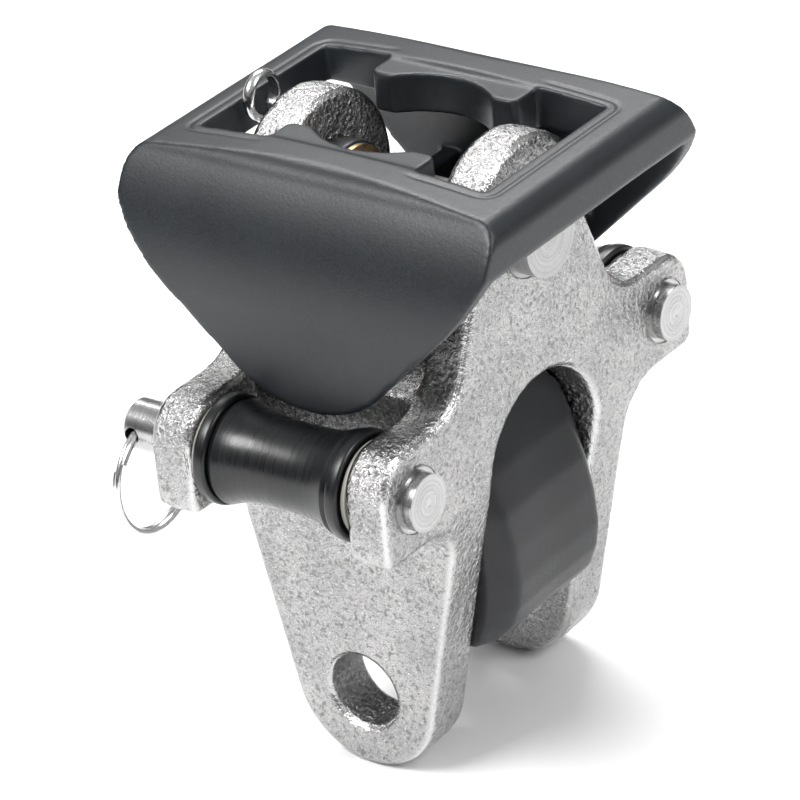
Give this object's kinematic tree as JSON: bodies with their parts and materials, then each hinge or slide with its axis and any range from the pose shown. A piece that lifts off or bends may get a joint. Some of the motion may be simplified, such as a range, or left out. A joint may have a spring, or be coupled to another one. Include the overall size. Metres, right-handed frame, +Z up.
{
  "type": "fork mounted roller lead cleat",
  "caption": "Cast stainless fork body with two grooved rollers on clevis pins, a pivoted black saddle over them and a pad in the fork gap.",
  "frame": {"origin": "middle of the common bore of the two fork eyes", "axes": "+X along the roller pins towards their heads, +Y from the front roller to the rear roller and along the fork eyes' bore, +Z up from the eyes to the saddle"},
  "size_m": [0.067, 0.085, 0.105],
  "materials": {
    "cast_stainless": "tumbled investment casting, fine granular skin with polished rounded edges",
    "polished_stainless": "turned and polished",
    "pin_stainless": "fine turned satin",
    "wire_stainless": "bright drawn wire",
    "moulded_nylon": "fine spark-eroded moulding texture",
    "turned_acetal": "semi-gloss with turning lines",
    "bush_bronze": "sintered bronze",
    "bush_acetal": "turned"
  },
  "bodies": {
    "body": {"body_casting": "cast_stainless", "front_pin": "polished_stainless", "front_washer_near": "polished_stainless", "front_washer_far": "polished_stainless", "rear_pin": "polished_stainless", "rear_washer_near": "polished_stainless", "rear_washer_far": "polished_stainless", "top_pin": "pin_stainless", "top_pin_washer": "polished_stainless", "top_cotter_pin": "wire_stainless", "fork_pad": "moulded_nylon", "fork_pad_screw": "polished_stainless"},
    "front_roller_body": {"front_roller": "turned_acetal", "front_roller_bush": "bush_bronze"},
    "rear_roller_body": {"rear_roller": "turned_acetal", "rear_roller_bush": "bush_bronze"},
    "saddle": {"saddle_cap": "moulded_nylon", "cap_bush_near": "bush_acetal", "cap_bush_far": "bush_acetal"},
    "front_ring": {"front_split_ring": "wire_stainless"},
    "rear_ring": {"rear_split_ring": "wire_stainless"}
  },
  "joints": [
    {"name": "front_roller_spin", "type": "hinge", "parent": "body", "child": "front_roller_body", "pos_m": [0, -0.033, 0.0445], "axis": [1, 0, 0], "continuous": true},
    {"name": "rear_roller_spin", "type": "hinge", "parent": "body", "child": "rear_roller_body", "pos_m": [0, 0.033, 0.0445], "axis": [1, 0, 0], "continuous": true},
    {"name": "saddle_rock", "type": "hinge", "parent": "body", "child": "saddle", "pos_m": [0, 0, 0.073], "axis": [1, 0, 0], "range_deg": [-3, 3]},
    {"name": "front_ring_swing", "type": "hinge", "parent": "body", "child": "front_ring", "pos_m": [-0.0283, -0.033, 0.0445], "axis": [0, 1, 0], "range_deg": [-20, 150]},
    {"name": "rear_ring_swing", "type": "hinge", "parent": "body", "child": "rear_ring", "pos_m": [-0.0283, 0.033, 0.0445], "axis": [0, 1, 0], "range_deg": [-20, 150]}
  ]
}
